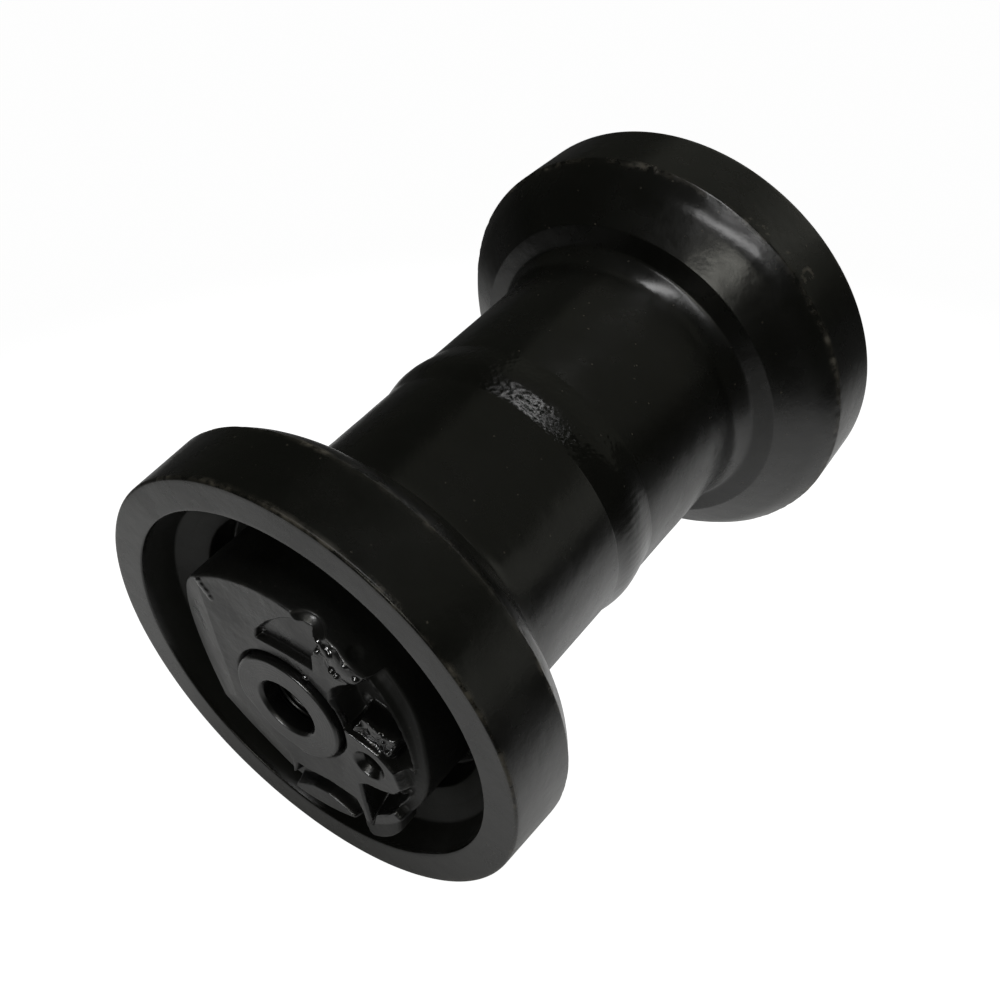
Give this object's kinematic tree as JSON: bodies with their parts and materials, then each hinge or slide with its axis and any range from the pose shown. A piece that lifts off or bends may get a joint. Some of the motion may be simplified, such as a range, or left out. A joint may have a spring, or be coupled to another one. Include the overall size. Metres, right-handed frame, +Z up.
{
  "type": "track roller",
  "caption": "Sealed track roller with a rim at each end of a welded waist tube, turning on a still shaft held by end collars with tapped ends.",
  "frame": {"origin": "on the roller's axis, halfway between the two shaft ends", "axes": "+Y along the axis, from the near end (seen in the picture) to the far end; +Z up, square to the axis"},
  "size_m": [0.161, 0.2376, 0.161],
  "materials": {
    "black_paint": "satin black dip paint over forged steel, blotchy, with runs",
    "black_cast_paint": "satin black paint over a rough casting, with wet-looking blobs",
    "shaft_paint": "thin smooth black paint over ground steel",
    "pin_steel": "plain steel",
    "seal_iron": "lapped faces, plain back",
    "bushing_bronze": "bored bronze lining",
    "seal_rubber": "smooth moulded nitrile"
  },
  "bodies": {
    "axle": {"collar_far": "black_cast_paint", "collar_near": "black_cast_paint", "collar_o_ring_far": "seal_rubber", "collar_o_ring_near": "seal_rubber", "lock_pin_far": "pin_steel", "lock_pin_near": "pin_steel", "oil_plug": "pin_steel", "seal_ring_still_far": "seal_iron", "seal_ring_still_near": "seal_iron", "shaft": "shaft_paint", "toric_ring_still_far": "seal_rubber", "toric_ring_still_near": "seal_rubber"},
    "roller": {"bushing_far": "bushing_bronze", "bushing_near": "bushing_bronze", "seal_ring_turning_far": "seal_iron", "seal_ring_turning_near": "seal_iron", "shell_half_far": "black_paint", "shell_half_near": "black_paint", "toric_ring_turning_far": "seal_rubber", "toric_ring_turning_near": "seal_rubber", "weld_bead": "black_paint"}
  },
  "joints": [
    {"name": "roller_spin", "type": "hinge", "parent": "axle", "child": "roller", "pos_m": [0, 0, 0], "axis": [0, 1, 0], "continuous": true}
  ]
}
